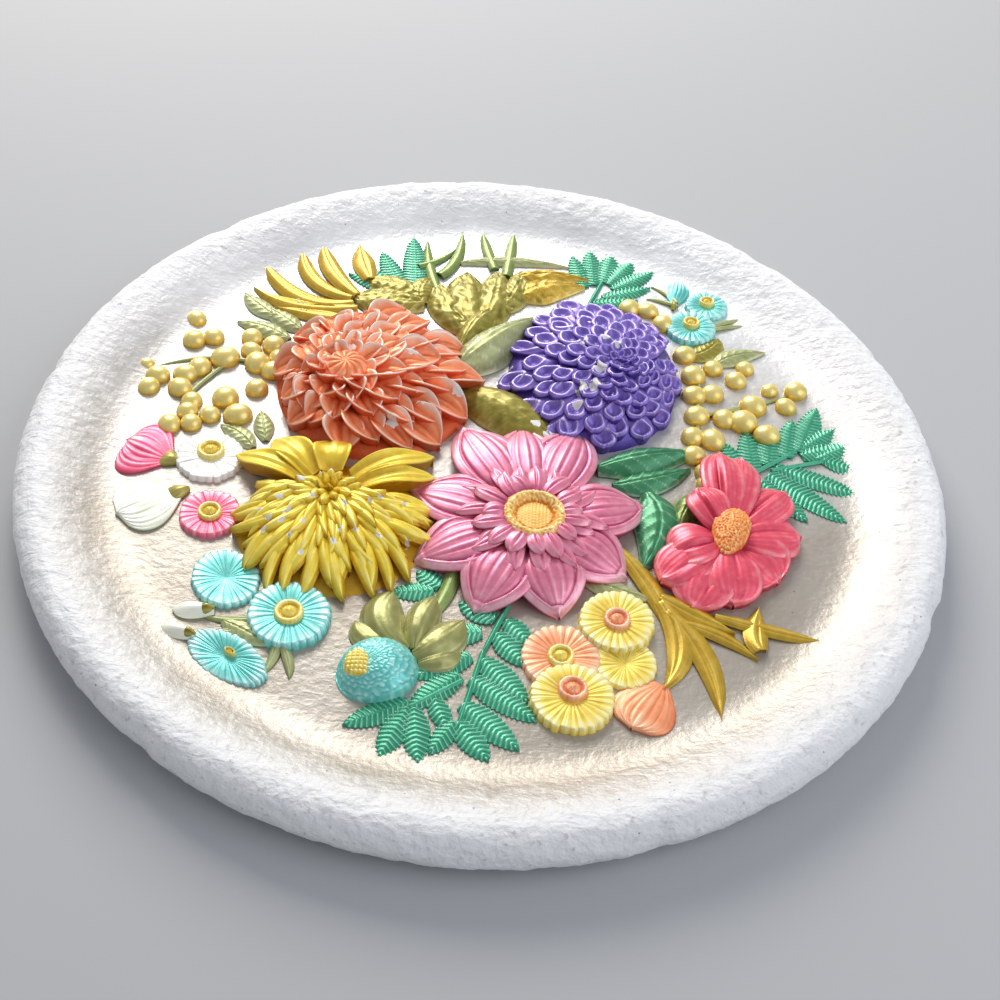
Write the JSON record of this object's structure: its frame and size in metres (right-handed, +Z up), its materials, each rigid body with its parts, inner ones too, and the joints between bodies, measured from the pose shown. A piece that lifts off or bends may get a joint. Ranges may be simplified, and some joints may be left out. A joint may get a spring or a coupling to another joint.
{
  "type": "decorative wall plaque",
  "caption": "Round cast-plaster wall plaque with a raised rim and a painted high-relief bouquet of dahlias, daisies, berries, ferns and leaves.",
  "frame": {"origin": "centre of the flat back, where the plaque lies against the wall", "axes": "+Z up the wall, +X to the viewer's right, the face looks along -Y and the back lies in the plane Y = 0"},
  "size_m": [0.33, 0.0278, 0.33],
  "materials": {
    "painted_plaster": "satin"
  },
  "bodies": {
    "root": {"plaque": "painted_plaster"}
  },
  "joints": []
}
